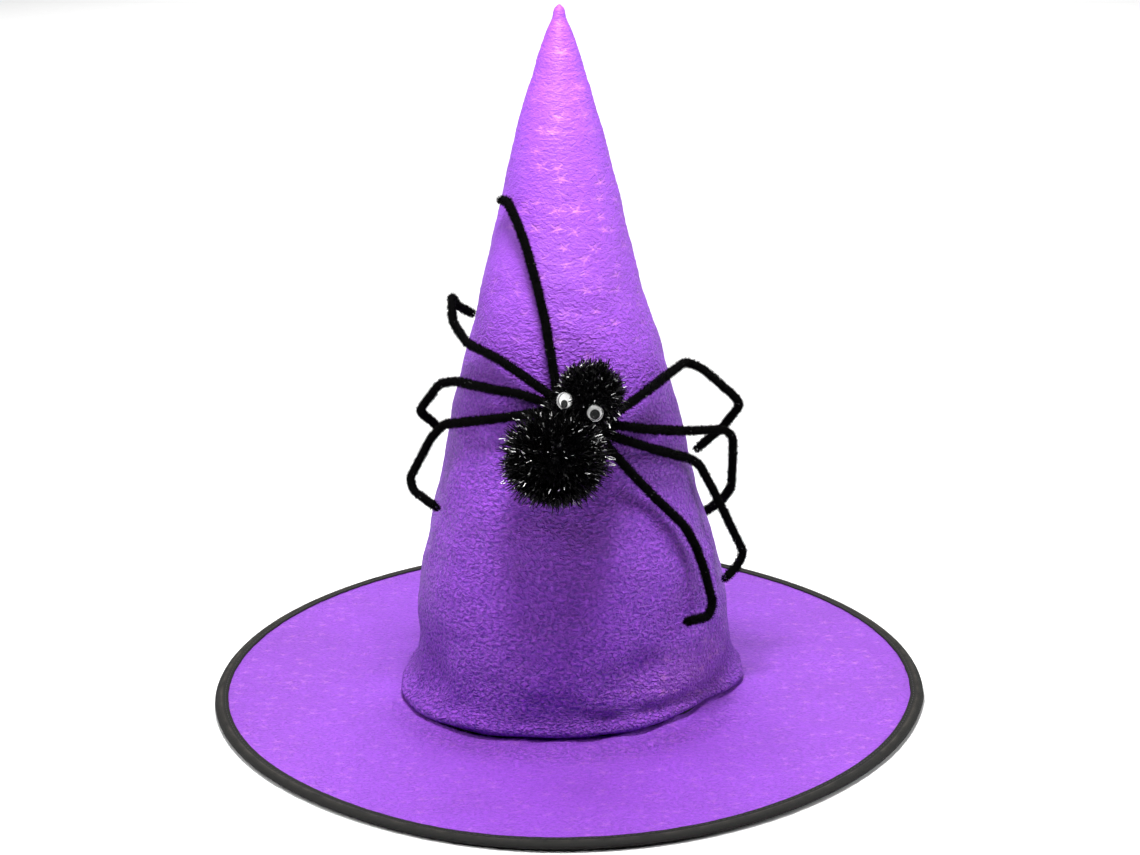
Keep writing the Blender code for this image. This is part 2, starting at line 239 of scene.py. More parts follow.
def biasTape():
    # polyester bias tape: plain weave at 45 degrees, so it shows a fine diagonal grain like a twill
    material, tree, shader = newMaterial("polyester bias tape")
    uv = addNode(tree, "ShaderNodeTexCoord").outputs["UV"]
    metres = addNode(tree, "ShaderNodeMapping", {},
                     {"Vector": uv, "Scale": (1, 1, 1), "Rotation": (0, 0, math.radians(45))}).outputs[0]
    thread = 0.55 * mm  # real threads are about 0.3 mm apart, drawn coarser so that they show
    waves = []
    for direction in ("X", "Y"):
        wave = addNode(tree, "ShaderNodeTexWave", {"bands_direction": direction},
                       {"Vector": metres, "Scale": 1 / thread / 3.2, "Distortion": 0.4, "Detail": 1.0})
        waves.append(wave.outputs[1])
    weave = maths(tree, "MULTIPLY", waves[0], waves[1])
    fuzz = addNode(tree, "ShaderNodeTexNoise", {}, {"Vector": metres, "Scale": 1 / (1.6 * mm), "Detail": 4.0})
    grain = maths(tree, "MULTIPLY_ADD", weave, 0.6, maths(tree, "MULTIPLY", fuzz.outputs[0], 0.4))
    tone = mixColour(tree, grain, linear("#090908"), linear("#1D1C18"))
    foldHighlight = addNode(tree, "ShaderNodeAttribute", {"attribute_name": "foldHighlight"}).outputs["Fac"]
    # painted highlight: a lighter line along the top of the fold, broken up by noise
    brokenUp = addNode(tree, "ShaderNodeTexNoise", {}, {"Vector": metres, "Scale": 1 / (9 * mm), "Detail": 2.0})
    patchy = maths(tree, "MULTIPLY_ADD", brokenUp.outputs[0], 3.0, -1.0, clamp=True)
    tone = mixColour(tree, maths(tree, "MULTIPLY", foldHighlight, patchy), tone, linear("#403C36"))
    shaded = addNode(tree, "ShaderNodeAttribute", {"attribute_name": "shaded"}).outputs["Fac"]
    tone = mixColour(tree, shaded, tone, linear("#050205"))
    tree.links.new(tone, shader.inputs["Base Color"])
    height = maths(tree, "MULTIPLY_ADD", fuzz.outputs[0], 0.4, weave)
    tree.links.new(bumpOf(tree, height, 0.15 * mm, 0.8), shader.inputs["Normal"])
    shader.inputs["Roughness"].default_value = 0.75
    shader.inputs["Specular IOR Level"].default_value = 0.3
    return material


plainFinishes = {
    # spun polyester thread: a tight matt twist with a faint shine along its crown
    "dark polyester thread": {"colours": ("#1E1C1E", "#2A282A"), "spacing": 0.5 * mm, "detail": 2.0,
                              "rough": 0.6, "relief": 0.6},
    "violet polyester thread": {"colours": ("#532B89", "#6E3BB4"), "spacing": 0.5 * mm, "detail": 2.0,
                                "rough": 0.6, "relief": 0.6},
    # black lacquered polyester film, slit into strips: deep black that flashes where a strip faces the light
    "black polyester tinsel film": {"colours": ("#010101", "#060606"), "spacing": 2.5 * mm, "detail": 2.0,
                                    "roughSpread": (0.25, 0.16), "shine": 0.2},
    # aluminium-coated polyester film: the few strands that show white, partly silver strands and partly painted
    # glints
    "silver tinsel film with painted glints": {"colours": ("#E8E8E6", "#FFFFFF"), "spacing": 1.5 * mm, "detail": 2.0,
                                     "rough": 0.3, "metal": 0.3},
    # painted glints: the odd grey strand in the chenille, standing for where the pile catches the light
    "painted grey pile glint": {"colours": ("#4A4A48", "#B0B0AE"), "spacing": 1.2 * mm, "detail": 1.0, "rough": 0.5},
    # chenille pile: cut nylon fibres, near black, with a soft grey bloom where the tips catch light
    "black nylon chenille pile": {"colours": ("#000000", "#060606"), "spacing": 1.2 * mm, "detail": 3.0,
                                  "rough": 0.9, "shine": 0.06, "sharp": 3.0},
    # galvanised spring wire: dull grey with cloudy zinc
    "galvanised steel wire": {"colours": ("#7D7F80", "#A9ABAB"), "spacing": 3 * mm, "detail": 3.0,
                              "roughSpread": (0.3, 0.3), "metal": 1.0},
    # hot-melt glue: milky, rounded, slightly waxy
    "hot-melt glue": {"colours": ("#CFC8B4", "#E9E4D6"), "spacing": 2 * mm, "detail": 2.0, "rough": 0.35,
                      "relief": 0.4},
    # milky polystyrene disc, moulded
    "white polystyrene": {"colours": ("#F4F4F2", "#FFFFFF"), "spacing": 1.5 * mm, "detail": 1.0, "rough": 0.4},
    # black polystyrene disc with a slightly scuffed face
    "black polystyrene": {"colours": ("#050506", "#131315"), "spacing": 0.6 * mm, "detail": 3.0,
                          "roughSpread": (0.3, 0.25)},
    # clear vacuum-formed film: it lets light straight through, with a glossy skin that catches the softbox
    "clear polystyrene dome": {"spacing": 1.0 * mm, "detail": 2.0, "roughSpread": (0.08, 0.03)},
}


def plainFinish(name):
    # two close tones, or an even one, clouded by a fine grain
    look = plainFinishes[name]
    material, tree, shader = newMaterial(name)
    place = addNode(tree, "ShaderNodeTexCoord").outputs["Object"]
    noise = addNode(tree, "ShaderNodeTexNoise", {},
                    {"Vector": place, "Scale": 1 / look["spacing"], "Detail": look["detail"]}).outputs[0]
    if "colours" in look:
        cloud = maths(tree, "POWER", noise, look["sharp"]) if "sharp" in look else noise
        tree.links.new(mixColour(tree, cloud, *map(linear, look["colours"])), shader.inputs["Base Color"])
    if "relief" in look:
        tree.links.new(bumpOf(tree, noise, 0.1 * mm, look["relief"]), shader.inputs["Normal"])
    if "roughSpread" in look:
        tree.links.new(maths(tree, "MULTIPLY_ADD", noise, *look["roughSpread"]), shader.inputs["Roughness"])
    for key, socket in (("rough", "Roughness"), ("metal", "Metallic"), ("shine", "Specular IOR Level")):
        if key in look:
            shader.inputs[socket].default_value = look[key]
    return material


def clearFilm():
    material = plainFinish("clear polystyrene dome")
    tree = material.node_tree
    shader = tree.nodes["Principled BSDF"]
    shader.inputs["Base Color"].default_value = linear("#FCFCFC")
    through = addNode(tree, "ShaderNodeBsdfTransparent")
    skin = addNode(tree, "ShaderNodeFresnel", {}, {"IOR": 1.13})
    blend = addNode(tree, "ShaderNodeMixShader", {},
                    {0: skin.outputs[0], 1: through.outputs[0], 2: shader.outputs[0]})
    tree.links.new(blend.outputs[0], tree.nodes["Material Output"].inputs[0])
    return material


felt = starFelt()
tape = biasTape()
darkThread = plainFinish("dark polyester thread")
violetThread = plainFinish("violet polyester thread")
blackFilm = plainFinish("black polyester tinsel film")
brightFilm = plainFinish("silver tinsel film with painted glints")
pile = plainFinish("black nylon chenille pile")
pileGlint = plainFinish("painted grey pile glint")
zinc = plainFinish("galvanised steel wire")
glue = plainFinish("hot-melt glue")
whitePlastic = plainFinish("white polystyrene")
clearPlastic = clearFilm()
blackPlastic = plainFinish("black polystyrene")
print("materials made")


# ---- stage, light and camera

stage = {
    "cameraAt": (0.0027, -1.0468, 0.4827),
    "lookDown": 17.89,
    "roll": -0.8,
    "lens": 66.26,
    "lights": {
        "key softbox": {"at": (-0.01, -0.18, 0.66), "size": 0.14, "power": 4.9, "toward": (0, -0.06, 0)},
        "front softbox": {"at": (-0.3, -0.7, 0.9), "size": 0.3, "power": 2.4, "toward": (0, -0.06, 0.1)},
        "left softbox": {"at": (-1.5, 0.1, 0.7), "size": 0.9, "power": 10.2, "toward": (0, 0, 0.1)},
        "right softbox": {"at": (1.5, 0.1, 0.7), "size": 0.9, "power": 13.2, "toward": (0, 0, 0.1)},
        "backdrop light": {"at": (0.0, 2.2, 2.4), "size": 2.5, "power": 114.0, "toward": (0, 2.4, 0)},
    },
    "air": 0.01,
}


def makeCamera():
    data = bpy.data.cameras.new("camera")
    data.lens = stage["lens"]
    data.sensor_width = 36
    camera = bpy.data.objects.new("camera", data)
    bpy.context.scene.collection.objects.link(camera)
    tilt = Matrix.Rotation(math.radians(90 - stage["lookDown"]), 4, "X")
    roll = Matrix.Rotation(math.radians(stage["roll"]), 4, "Z")
    camera.matrix_world = Matrix.Translation(stage["cameraAt"]) @ tilt @ roll
    bpy.context.scene.camera = camera


def makeSoftbox(name, look):
    data = bpy.data.lights.new(name, "AREA")
    data.shape = "DISK"
    data.size = look["size"]
    data.energy = look["power"]
    light = bpy.data.objects.new(name, data)
    light.location = look["at"]
    light.rotation_euler = (Vector(look["toward"]) - Vector(look["at"])).to_track_quat("-Z", "Y").to_euler()
    light.visible_camera = False
    bpy.context.scene.collection.objects.link(light)


def makeFloor():
    deselectAll()
    bpy.ops.mesh.primitive_plane_add(size=16, location=(0, 4, 0))
    floor = bpy.context.object
    floor.name = "floor"
    material, tree, shader = newMaterial("white sweep paper")
    place = addNode(tree, "ShaderNodeTexCoord").outputs["Object"]
    grain = addNode(tree, "ShaderNodeTexNoise", {}, {"Vector": place, "Scale": 40.0})
    tone = mixColour(tree, grain.outputs[0], linear("#F7F7F7"), linear("#FCFCFC"))
    tree.links.new(tone, shader.inputs["Base Color"])
    shader.inputs["Roughness"].default_value = 0.9
    floor.data.materials.append(material)


def makeWorld():
    world = bpy.data.worlds.new("studio air")
    world.use_nodes = True
    tree = world.node_tree
    seen = addNode(tree, "ShaderNodeLightPath").outputs["Is Camera Ray"]
    colour, strength = tree.nodes["Background"].inputs[:2]
    colour.default_value = (1, 1, 1, 1)
    tree.links.new(maths(tree, "MULTIPLY_ADD", seen, 1 - stage["air"], stage["air"]), strength)
    bpy.context.scene.world = world
    bpy.context.scene.view_settings.view_transform = "Standard"


makeCamera()
makeWorld()
makeFloor()
for lightName, lightLook in stage["lights"].items():
    makeSoftbox(lightName, lightLook)
print("stage ready")


# ---- relief shared by the cloth pieces

def softField(x, y, spacing, seed, stretch=1.0):
    # a smooth random relief whose bumps are about this far apart, with a spread of about one
    rng = np.random.default_rng(seed)
    waves = 22
    total = np.zeros_like(x)
    for _ in range(waves):
        angle = rng.uniform(0, 2 * math.pi)
        length = 2 * math.pi / (spacing * rng.uniform(0.75, 1.4))
        phase = rng.uniform(0, 2 * math.pi)
        total += np.cos(x * math.cos(angle) * length + y * math.sin(angle) * length * stretch + phase)
    return total / math.sqrt(waves / 2)


def creasedField(x, y, spacing, seed, stretch=1.0):
    # thin raised creases between soft hollows
    return 0.6 - np.minimum(np.abs(softField(x, y, spacing, seed, stretch)), 1.6)


def clothRelief(x, y, look, low=0):
    # soft hollows: height, more of it lower down, spacing and seed
    # thin creases: height, spacing, seed and stretch
    soft = sum((height + more * low) * mm * softField(x, y, spacing * mm, seed)
               for height, more, spacing, seed in look["soft"])
    return soft + sum(height * mm * creasedField(x, y, spacing * mm, seed, stretch)
                      for height, spacing, seed, stretch in look["creased"])


def smoothStep(value, low, high):
    t = np.clip((value - low) / (high - low), 0, 1)
    return t * t * (3 - 2 * t)


def spline(points, count):
    # points along a smooth curve through these, evenly spaced
    p = np.array([points[0]] + list(points) + [points[-1]], float)
    fine = []
    for i in range(1, len(p) - 2):
        for t in np.linspace(0, 1, 24, endpoint=False):
            a, b, c, d = p[i - 1:i + 3]
            fine.append(0.5 * (2 * b + (c - a) * t + (2 * a - 5 * b + 4 * c - d) * t ** 2
                               + (3 * b - a - 3 * c + d) * t ** 3))
    fine.append(p[-1])
    fine = np.array(fine)
    along = distances(fine)
    even = np.linspace(0, along[-1], count)
    return sampled(even, along, fine), even


# ---- crown

crownShape = {
    # the outer side in millimetres, radius and height, from the tip to the hem inside the turned lip
    "side": [(0, 364), (2.6, 361.6), (3.6, 357), (6.7, 350.5), (10.2, 341), (13.2, 331), (21.5, 302),
             (33.8, 252), (47, 202), (57.2, 162), (66.5, 122), (75.7, 87), (82.0, 57), (84.4, 34), (85.7, 20),
             (88.4, 12.2), (92.4, 7.6), (91.6, 4.6), (89.0, 3.6), (87.4, 3.6)],
    # how far the axis of the cone wanders to the side, by height
    "lean": [(0, 2.6), (40, 2.2), (80, 1.2), (140, 0.4), (220, -0.5), (330, -0.4), (364, 0.3)],
    # where the turned lip lifts off the brim: turn, spread, lift
    "gaps": [(-36, 11, 3.0), (-18, 10, 1.3), (8, 14, 0.7), (40, 12, 0.2), (62, 12, 0.2), (120, 9, 1.2),
             (-140, 12, 1.4)],
    # how far in the front is pulled, by height
    "pull": [(0, 6.6), (10, 6.4), (15, 4.6), (22, 2.6), (36, 1.8), (60, 0.8), (90, 0)],
    "frontLift": 2.6,
    "soft": [(0.2, 0.55, 70, 3), (0.12, 0.2, 24, 5)],
    "creased": [(0.14, 13, 7, 1.5), (0.12, 7, 9, 1.4)],
    "unroll": 0.2437,  # turns of the flat fan for each turn of the cone
    "rows": 236,
    "columns": 320,
    "thickness": 1.5 * mm,
    # soft dents: turn from the front in degrees, height, spread around, spread up, depth, in millimetres
    "dents": [(24, 36, 24, 11, 2.6), (-90, 34, 40, 26, 3.0), (-6, 24, 20, 10, 1.2), (-26, 46, 30, 20, 1.6),
              (-8, 118, 20, 16, 1.8), (48, 60, 16, 22, 1.4), (-58, 24, 12, 10, 2.4),
              (-44, 12, 8, 6, 1.6), (30, 12, 18, 5, 1.2), (100, 40, 30, 16, 1.2),
              (150, 70, 22, 26, 2.2), (-112, 52, 28, 18, 1.2), (-150, 30, 20, 12, 2.0),
              (-130, 130, 20, 24, 1.4),
              (120, 150, 16, 30, 1.3), (6, 250, 10, 22, 0.6), (60, 220, 12, 26, 0.8), (-60, 200, 12, 26, 0.8)],
}


def frontTuck(a):
    # how far the foot is tucked in instead of flaring: most at the front right, and flared out at the left
    turn = np.degrees(a)
    wide = smoothStep(turn, -42, 2) * (1 - smoothStep(turn, 48, 88))
    return wide + 0.5 * np.exp(-((turn - 50) / 24) ** 2) - 0.4 * np.exp(-((turn + 66) / 13) ** 2)


def crownLean(height):
    heights, shifts = zip(*crownShape["lean"])
    return np.interp(height, np.array(heights) * mm, np.array(shifts) * mm)


def crownGrid():
    # points of the outer skin, by row from the tip down and by turn from the back seam round the front
    look = crownShape
    profile, along = spline(look["side"], look["rows"])
    profile, along = profile * mm, along * mm
    step = unit(np.gradient(profile, axis=0))
    outR, outZ = -step[:, 1], step[:, 0]
    turn = turnsOf(look["columns"])
    r, z, s = profile[:, :1], profile[:, 1:], along[:, None]
    a = turn[None, :]
    flatAngle = a * look["unroll"]
    x, y = s * np.sin(flatAngle), -s * np.cos(flatAngle)  # where this point was on the flat cloth
    fade = smoothStep(s, 4 * mm, 30 * mm) * (1 - 0.75 * smoothStep(s, along[-1] - 12 * mm, along[-1] - 4 * mm))
    seam = 1 - np.exp(-((np.abs(np.abs(a) - math.pi) * r) / (3.0 * mm)) ** 2)
    low = smoothStep(s, 90 * mm, 300 * mm)
    out = clothRelief(x, y, look, low) * fade * seam
    for degrees, height, around, up, depth in look["dents"]:
        sideways = (np.angle(np.exp(1j * (a - math.radians(degrees)))) * np.maximum(r, 20 * mm)) / (around * mm)
        out -= depth * mm * np.exp(-sideways ** 2 - ((z - height * mm) / (up * mm)) ** 2) * fade
    heights, pulls = zip(*look["pull"])
    out -= frontTuck(a) * np.interp(z, np.array(heights) * mm, np.array(pulls) * mm)
    lip = np.exp(-((z - 9 * mm) / (7 * mm)) ** 2) * (s > along[-1] - 40 * mm)
    puff = 0.9 * np.sin(a * 9 + 1.0) + 0.7 * np.sin(a * 14 + 2.2) + 0.5 * np.sin(a * 23)
    out += lip * 0.55 * mm * puff
    out -= (1 - seam) * 1.0 * mm * smoothStep(s, 6 * mm, 20 * mm)
    foot = smoothStep(s, along[-1] - 26 * mm, along[-1] - 12 * mm)
    sideways = outR[:, None] * (1 - foot) + foot
    radius = np.maximum(r + out * sideways, 0.05 * mm)
    height = z + out * outZ[:, None] * (1 - foot) + look["frontLift"] * mm * frontTuck(a) * foot
    left = along[-1] - s  # the distance to the hem
    tail = smoothStep(-left, -22 * mm, -9 * mm) * (1 - smoothStep(-left, -3 * mm, 0))
    for degrees, around, lift in look["gaps"]:
        height += tail * lift * mm * np.exp(-((a - math.radians(degrees)) / math.radians(around)) ** 2)
    points = np.stack([radius * np.sin(a) + crownLean(height), -radius * np.cos(a), height], -1)
    points[:, -1] = points[:, 0]
    uv = np.stack([0.5 + x / clothUnit, 0.95 + y / clothUnit], -1)
    return points, uv, along


def gridNormals(points):
    across = np.roll(points[:, :-1], -1, 1) - np.roll(points[:, :-1], 1, 1)
    down = np.gradient(points[:, :-1], axis=0)
    normal = np.cross(across, down)
    normal /= np.linalg.norm(normal, axis=2)[..., None] + 1e-12
    outward = points[:, :-1] * (1, 1, 0)
    flip = np.sign((normal * outward).sum(2).mean())
    return normal * flip


def markCloth(piece, name, strength):
    # one mark sets where a highlight is painted on, as a paler wash and pale stars; slack is how little the
    # wrinkles are pulled flat, which sets both their bump and their painted hollow shade
    layer = piece.data.attributes.new(name, "FLOAT", "POINT")
    layer.data.foreach_set("value", np.asarray(strength, np.float32))


def quadsOf(rows, columns, start=0, flip=False):
    i, j = np.meshgrid(np.arange(rows - 1), np.arange(columns), indexing="ij")
    onward = (j + 1) % columns
    above, below = i * columns, (i + 1) * columns
    quads = np.stack([above + j, below + j, below + onward, above + onward], -1).reshape(-1, 4) + start
    corners = np.stack([i, j, i + 1, j, i + 1, j + 1, i, j + 1], -1).reshape(-1, 4, 2)
    return (quads[:, ::-1], corners[:, ::-1]) if flip else (quads, corners)


def clothShell(points, uv, normals, thickness, innerFrom=0, every=2, closeStart=True):
    # a cloth of real thickness from a grid of its outer skin: the inner skin has half the rows and columns
    rows, columns = points.shape[0], points.shape[1] - 1
    outer = points[:, :-1].reshape(-1, 3)
    chosen = np.arange(rows - 1, innerFrom - 1, -every)[::-1]
    lining = (points[:, :-1] - normals * thickness)[chosen][:, ::every]
    quads, corners = quadsOf(rows, columns)
    uvs = [uv[corners[..., 0], corners[..., 1]].reshape(-1, 2)]
    faces = [tuple(q) for q in quads]
    start = len(outer)
    inRows, inColumns = lining.shape[:2]
    inQuads, inCorners = quadsOf(inRows, inColumns, start, flip=True)
    uvs.append(uv[chosen[inCorners[..., 0]], inCorners[..., 1] * every].reshape(-1, 2))
    faces += [tuple(q) for q in inQuads]
    for edge in [rows - 1, 0] if closeStart else [rows - 1]:
        out0 = edge * columns
        in0 = start + ((inRows - 1) if edge else 0) * inColumns
        for j in range(inColumns):
            a, b, c = out0 + 2 * j, out0 + 2 * j + 1, out0 + (2 * j + 2) % columns
            p, q = in0 + j, in0 + (j + 1) % inColumns
            strips = [(a, p, b), (b, p, q), (b, q, c)]
            faces += strips if edge else [t[::-1] for t in strips]
            uvs.append(np.repeat(uv[edge, 2 * j][None], 9, 0))
    return np.concatenate([outer, lining.reshape(-1, 3)]), faces, uvs


def makeCrown():
    points, uv, along = crownGrid()
    normals = gridNormals(points)
    innerFrom = 14  # the row where the hollow begins, so the tip is solid
    thickness = crownShape["thickness"]
    everything, faces, uvs = clothShell(points, uv, normals, thickness, innerFrom, closeStart=False)
    columns = crownShape["columns"]
    # the tip is closed by a fan outside, and the hollow by a fan inside
    tip = len(everything)
    hollow = tip + 1
    everything = np.concatenate([everything, [points[0, :-1].mean(0) + (0, 0, 0.15 * mm)],
                                 [points[innerFrom + 1, :-1].mean(0)]])
    for j in range(columns):
        faces.append((tip, j, (j + 1) % columns))
        uvs.append(np.array([uv[0, j]] * 3))
    start = crownShape["rows"] * columns
    for j in range(columns // 2):
        faces.append((hollow, start + (j + 1) % (columns // 2), start + j))
        uvs.append(np.array([uv[innerFrom, 2 * j]] * 3))
    crown = meshPiece("crown_cloth_sewn", everything, faces, [felt], np.concatenate(uvs))
    tidyShell(crown)
    at = np.array([v.co for v in crown.data.vertices])
    turn = np.degrees(np.arctan2(at[:, 0], -at[:, 1]))
    # painted highlight: laid on most high on the front, less again at the tip, and on the flare at the lower
    # right, where the light catches the cloth and its stars
    upper = smoothStep(at[:, 2], 150 * mm, 270 * mm) * np.exp(-((turn - 8) / 62) ** 2)
    upper *= 1 - 0.6 * smoothStep(at[:, 2], 315 * mm, 362 * mm)
    lower = np.exp(-((turn - 52) / 24) ** 2 - ((at[:, 2] - 26 * mm) / (16 * mm)) ** 2)
    markCloth(crown, "paintedHighlight", 0.08 + 0.9 * upper + 1.5 * lower)
    # the wrinkles, with the shade painted into their hollows, are deepest at the foot and pulled flat toward the
    # tip
    slack = 1.35 - 0.35 * smoothStep(at[:, 2], 30 * mm, 90 * mm) - 0.8 * smoothStep(at[:, 2], 130 * mm, 250 * mm)
    markCloth(crown, "slack", slack)
    standsFor(crown, "hat", "crown_cloth")
    return points


def tidyShell(piece):
    deselectAll()
    piece.select_set(True)
    bpy.context.view_layer.objects.active = piece
    bpy.ops.object.mode_set(mode="EDIT")
    bpy.ops.mesh.select_all(action="SELECT")
    bpy.ops.mesh.remove_doubles(threshold=0.00001)
    bpy.ops.mesh.normals_make_consistent(inside=False)
    bpy.ops.object.mode_set(mode="OBJECT")
    piece.select_set(False)


crownPoints = makeCrown()
print("crown made")


def crownReach(x, y, z):
    # how far outside the crown's side a point is, near enough
    heights = crownPoints[:, :-1, 2].mean(1)
    radii = np.linalg.norm(crownPoints[:, :-1, :2] - crownPoints[:, :-1, :2].mean(1)[:, None], axis=2).mean(1)
    keep = np.arange(len(heights)) < len(heights) - 14
    at = np.interp(-z, -heights[keep], radii[keep])
    return (np.hypot(x - crownLean(z), y) - at) * 0.97


# ---- brim

brimShape = {
    "inner": 86.3 * mm,
    "edge": 185.0 * mm,
    "crease": 97 * mm,  # where the cloth is creased by the seam, in front of the lip
    "top": 3.1 * mm,
    "under": 1.1 * mm,
    "soft": [(0.45, 0, 60, 21), (0.16, 0, 24, 23)],
    "creased": [(0.13, 12, 25, 1.2), (0.09, 6.5, 27, 1.2)],
    "rows": 62,
    "columns": 420,
}


def rimShift(a):
    # the sprung hoop is not quite round, and the ferrule that joins its ends makes a corner near the right
    away = np.angle(np.exp(1j * (a - math.radians(80))))
    corner = 0.9 * np.exp(-np.abs(away) / math.radians(6))
    flat = -1.2 * np.exp(-((a + math.radians(35)) / math.radians(22)) ** 2)
    return mm * (corner + flat - 1.5 - 0.95 * np.cos(2 * a) + 1.2 * np.cos(4 * a))


def brimWave(a):
    # the hoop's gentle rise and fall, never below the table
    return mm * (0.35 + 0.3 * np.sin(2 * a + 0.7) + 0.12 * np.sin(5 * a) + 0.08 * np.cos(9 * a))


def brimGrid(level, rows, columns, relief):
    turn = turnsOf(columns)
    share = np.linspace(0, 1, rows)[:, None]
    a = turn[None, :]
    inner = brimShape["inner"] - crownShape["pull"][0][1] * mm * frontTuck(a)
    radius = inner + (brimShape["edge"] + rimShift(a) - inner) * share
    x, y = radius * np.sin(a), -radius * np.cos(a)
    calm = smoothStep(share, 0.02, 0.14) * (1 - smoothStep(share, 0.9, 0.97))
    lift = relief * calm * clothRelief(x, y, brimShape)
    # small ripples in front of the seam, the cloth's rise into the crown, and a pucker at the front right
    near = np.exp(-((radius - brimShape["crease"]) / (5 * mm)) ** 2)
    ripple = np.sin((radius - 92 * mm) / (1.6 * mm) + 3 * np.sin(a * 4)) * np.cos(a * 6 + 1)
    lift += relief * near * 0.45 * mm * ripple
    rise = crownShape["frontLift"] * mm * frontTuck(a) * np.exp(-((radius - inner) / (16 * mm)) ** 2)
    rise *= 1 + 0.22 * relief * np.sin(a * 17 + (radius - inner) / (2.4 * mm))
    pucker = np.exp(-((a - math.radians(26)) / math.radians(17)) ** 2) * (0.7 + 0.3 * np.sin(a * 31))
    ridge = radius - (94.5 + 1.6 * np.sin(a * 5 + 0.6)) * mm
    rise = rise + relief * 1.5 * mm * pucker * np.exp(-(ridge / (1.5 * mm)) ** 2)
    z = level + lift + rise + brimWave(a) * share ** 2
    uv = np.stack([0.5 + x / clothUnit, 0.5 + y / clothUnit], -1)
    return np.stack([x + 0 * z, y + 0 * z, z], -1), uv


def makeBrimCloth(name, level, thickness, rows, columns, relief, node):
    points, uv = brimGrid(level, rows, columns, relief)
    normals = np.broadcast_to(np.array([0, 0, 1.0]), points[:, :-1].shape)
    everything, faces, uvs = clothShell(points, uv, normals, thickness)
    piece = meshPiece(name, everything, faces, [felt], np.concatenate(uvs))
    tidyShell(piece)
    at = np.array([v.co for v in piece.data.vertices])
    away = np.hypot(at[:, 0], at[:, 1])
    front = smoothStep(-at[:, 1], 10 * mm, 80 * mm)
    # painted highlight: paler toward the left and right of the brim
    markCloth(piece, "paintedHighlight", 0.3 + 0.25 * smoothStep(np.abs(at[:, 0]), 90 * mm, 150 * mm))
    markCloth(piece, "slack", 0.45 + 0.5 * front * np.exp(-((away - brimShape["crease"]) / (9 * mm)) ** 2))
    standsFor(piece, "hat", node)


makeBrimCloth("brim_upper_cloth", brimShape["top"], 1.0 * mm, brimShape["rows"], brimShape["columns"], 1.0,
              "brim_top_cloth")
makeBrimCloth("brim_lower_cloth", brimShape["under"] + 0.7 * mm, 0.7 * mm, 32, 240, 0.5, "brim_underside_cloth")
print("brim made")


# ---- binding of the brim's edge

bindingShape = {
    # section in millimetres from the brim's centre line: along the radius from the outermost point, and height
    "section": [(-7.2, 3.4), (-7.1, 3.75), (-6.0, 3.85), (-5.2, 3.65), (-4.1, 3.75), (-3.5, 4.15), (-2.9, 4.15),
                (-1.5, 3.4), (-0.45, 2.75), (0, 1.95), (-0.45, 1.2), (-1.5, 0.45), (-2.8, 0.1), (-5.0, 0.05),
                (-7.2, 0.1), (-7.2, 0.55), (-5.0, 0.5), (-2.9, 0.7), (-1.6, 1.0), (-0.85, 2.0), (-1.6, 3.1),
                (-2.8, 3.6),
                (-4.8, 3.3), (-6.0, 3.4)],
    # by row of the section: the fold along the top is painted lighter as a highlight, and both edges are painted
    # in shade
    "foldHighlight": {4: 0.3, 5: 0.9, 6: 0.4},
    "shaded": {0: 1.0, 1: 0.5, 8: 0.15, 9: 0.6, 10: 1.0, 11: 1.0, 12: 1.0, 13: 1.0, 23: 1.0, 24: 1.0},
    "columns": 480,
    "outer": 190 * mm,
    "stitch": 3.0 * mm,
    "stitchLine": 5.5 * mm,  # from the outermost edge
    "stitchHeight": 3.8 * mm,
}


def makeBinding():
    section = np.array(bindingShape["section"]) * mm
    columns = bindingShape["columns"]
    a = turnsOf(columns)
    count = len(section)
    ripple = 0.12 * mm * np.sin(a * 57) * np.sin(a * 11 + 1) + 0.06 * mm * np.sin(a * 131)
    points = np.zeros((count + 1, columns + 1, 3))
    for i in range(count + 1):
        inward, height = section[i % count]
        loose = max(0.0, min(1.0, (-inward - 3 * mm) / (5 * mm))) * (height > 3 * mm)
        radius = bindingShape["outer"] + rimShift(a) + inward + ripple * loose * 0.8
        points[i, :, 0], points[i, :, 1] = radius * np.sin(a), -radius * np.cos(a)
        points[i, :, 2] = height + brimWave(a) + ripple * loose
    quads, corners = quadsOf(count + 1, columns)
    widths = distances(np.vstack([section, section[:1]]))
    uv = np.stack(np.broadcast_arrays(bindingShape["outer"] * a[None, :], widths[:, None]), -1)
    uvs = uv[corners[..., 0], corners[..., 1]].reshape(-1, 2)
    piece = meshPiece("brim_edge_tape", points[:, :-1].reshape(-1, 3), [tuple(q) for q in quads], [tape], uvs)
    for mark in ("foldHighlight", "shaded"):
        strength = bindingShape[mark]
        markCloth(piece, mark, np.repeat([strength.get(i, 0.0) for i in range(count + 1)], columns))
    tidyShell(piece)
    standsFor(piece, "hat", "brim_binding")


def stitchRow(name, places, alongs, outs, length, thickness, material, slot, node):
    # one short sunken arc of thread for each stitch
    sides, steps = 6, 5
    points, faces = [], []
    for place, along, out in zip(places, alongs, outs):
        along, out = Vector(along).normalized(), Vector(out).normalized()
        across = along.cross(out)
        start = len(points)
        for i in range(steps):
            t = i / (steps - 1) * 2 - 1
            centre = Vector(place) + along * (t * length / 2) - out * (t * t * thickness * 0.9)
            wide = thickness * (1 - 0.55 * t ** 4)
            for k in range(sides):
                turn = 2 * math.pi * k / sides
                points.append(centre + across * (math.cos(turn) * wide) + out * (math.sin(turn) * wide))
        for i in range(steps - 1):
            for k in range(sides):
                a, b = start + i * sides + k, start + i * sides + (k + 1) % sides
                faces.append((a, b, b + sides, a + sides))
        faces.append(tuple(start + k for k in reversed(range(sides))))
        faces.append(tuple(start + (steps - 1) * sides + k for k in range(sides)))
    piece = meshPiece(name, points, faces, [material])
    tidyShell(piece)
    standsFor(piece, "hat", node)


